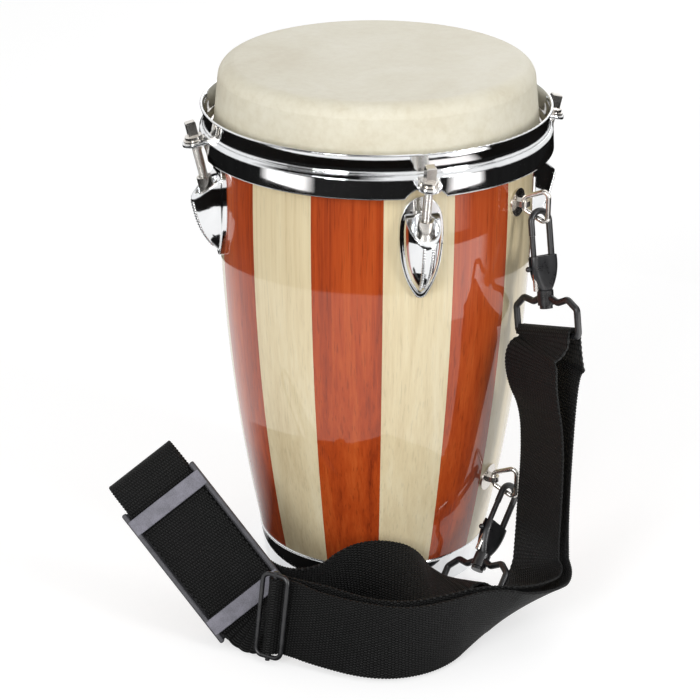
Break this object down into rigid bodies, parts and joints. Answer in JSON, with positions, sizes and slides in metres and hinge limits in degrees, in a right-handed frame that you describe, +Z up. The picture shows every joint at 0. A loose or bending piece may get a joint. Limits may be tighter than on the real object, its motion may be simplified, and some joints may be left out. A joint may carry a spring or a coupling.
{
  "type": "mini conga drum with shoulder strap",
  "caption": "Small tapered stave conga: open-bottomed striped wooden shell, hide head under a chrome hoop pulled down by bolts in teardrop lugs, webbing strap with snap hooks and shoulder pad.",
  "frame": {"origin": "centre of the drum's base, on the floor", "axes": "+Z up the drum's axis, -Y towards the front lug, +X to the right of it"},
  "size_m": [0.3225, 0.3185, 0.3492],
  "materials": {
    "wood_pale": "clear gloss lacquer",
    "wood_red": "red-brown stain under gloss lacquer",
    "chrome": "bright plated",
    "nickel": "nickel plated",
    "rawhide": "mottled cream hide",
    "webbing": "black woven",
    "black_metal": "black, half gloss",
    "slate_plastic": "dark slate, fine grain"
  },
  "bodies": {
    "shell": {"stave_01": "wood_pale", "stave_02": "wood_red", "stave_03": "wood_pale", "stave_04": "wood_red", "stave_05": "wood_pale", "stave_06": "wood_red", "stave_07": "wood_pale", "stave_08": "wood_red", "stave_09": "wood_pale", "stave_10": "wood_red", "stave_11": "wood_pale", "stave_12": "wood_red", "stave_13": "wood_pale", "stave_14": "wood_red", "base_band": "chrome", "lug_front": "chrome", "lug_right": "chrome", "lug_rear": "chrome", "lug_left": "chrome", "lug_nut_front": "nickel", "lug_nut_right": "nickel", "lug_nut_rear": "nickel", "lug_nut_left": "nickel", "lug_screws": "nickel", "eyelet_nuts": "nickel", "strap_eyelet_upper": "nickel", "strap_eyelet_lower": "nickel", "webbing_outer": "webbing", "webbing_inner": "webbing", "webbing_pad": "webbing", "strap_slider": "black_metal", "hook_bail_upper": "black_metal", "hook_bail_lower": "black_metal"},
    "head": {"drum_skin": "rawhide", "flesh_hoop": "nickel", "tension_hoop": "chrome", "bolt_washers": "nickel"},
    "bolt_front": {"tuning_bolt_front": "nickel"},
    "bolt_right": {"tuning_bolt_right": "nickel"},
    "bolt_rear": {"tuning_bolt_rear": "nickel"},
    "bolt_left": {"tuning_bolt_left": "nickel"},
    "ring_upper": {"strap_ring_upper": "nickel"},
    "hook_upper": {"hook_body_upper": "black_metal", "hook_spring_upper": "nickel"},
    "gate_upper": {"hook_gate_upper": "black_metal"},
    "ring_lower": {"strap_ring_lower": "nickel"},
    "hook_lower": {"hook_body_lower": "black_metal", "hook_spring_lower": "nickel"},
    "gate_lower": {"hook_gate_lower": "black_metal"},
    "pad": {"shoulder_pad": "slate_plastic"}
  },
  "joints": [
    {"name": "head_lift", "type": "slide", "parent": "shell", "child": "head", "axis": [0, 0, 1], "range_m": [0, 0.002]},
    {"name": "bolt_front_turn", "type": "hinge", "parent": "head", "child": "bolt_front", "pos_m": [0, -0.1209, 0.3034], "axis": [0, -0.225, 0.9744], "range_deg": [0, 720]},
    {"name": "bolt_right_turn", "type": "hinge", "parent": "head", "child": "bolt_right", "pos_m": [0.1209, 0, 0.3034], "axis": [0.225, 0, 0.9744], "range_deg": [0, 720]},
    {"name": "bolt_rear_turn", "type": "hinge", "parent": "head", "child": "bolt_rear", "pos_m": [0, 0.1209, 0.3034], "axis": [0, 0.225, 0.9744], "range_deg": [0, 720]},
    {"name": "bolt_left_turn", "type": "hinge", "parent": "head", "child": "bolt_left", "pos_m": [-0.1209, 0, 0.3034], "axis": [-0.225, 0, 0.9744], "range_deg": [0, 720]},
    {"name": "ring_upper_swing", "type": "hinge", "parent": "shell", "child": "ring_upper", "pos_m": [0.07677, -0.07677, 0.27], "axis": [0, 0, 1], "range_deg": [-4, 4]},
    {"name": "hook_upper_swivel", "type": "hinge", "parent": "shell", "child": "hook_upper", "pos_m": [0.0859, -0.098, 0.21262], "axis": [-0.02, 0.262, 0.9649], "range_deg": [-4.5, 4.5]},
    {"name": "gate_upper_slide", "type": "slide", "parent": "hook_upper", "child": "gate_upper", "axis": [0.02, -0.262, -0.9649], "range_m": [0, 0.0055], "stiffness_N_per_m": 300, "springref_m": -0.004, "deforming": ["hook_spring_upper"]},
    {"name": "ring_lower_swing", "type": "hinge", "parent": "shell", "child": "ring_lower", "pos_m": [0.06547, -0.06547, 0.072], "axis": [0, 0, 1], "range_deg": [-4, 4]},
    {"name": "hook_lower_swivel", "type": "hinge", "parent": "shell", "child": "hook_lower", "pos_m": [0.04684, -0.09862, 0.02884], "axis": [0.5354, 0.5003, 0.6805], "range_deg": [-4.5, 4.5]},
    {"name": "gate_lower_slide", "type": "slide", "parent": "hook_lower", "child": "gate_lower", "axis": [-0.5354, -0.5003, -0.6805], "range_m": [0, 0.0055], "stiffness_N_per_m": 300, "springref_m": -0.004, "deforming": ["hook_spring_lower"]},
    {"name": "pad_slide", "type": "slide", "parent": "shell", "child": "pad", "axis": [-0.5205, 0.4538, 0.7232], "range_m": [0, 0.004]}
  ],
  "couplings": [
    {"joint": "bolt_front_turn", "follows": "head_lift", "rad_per_m": 6283},
    {"joint": "bolt_right_turn", "follows": "head_lift", "rad_per_m": 6283},
    {"joint": "bolt_rear_turn", "follows": "head_lift", "rad_per_m": 6283},
    {"joint": "bolt_left_turn", "follows": "head_lift", "rad_per_m": 6283}
  ]
}
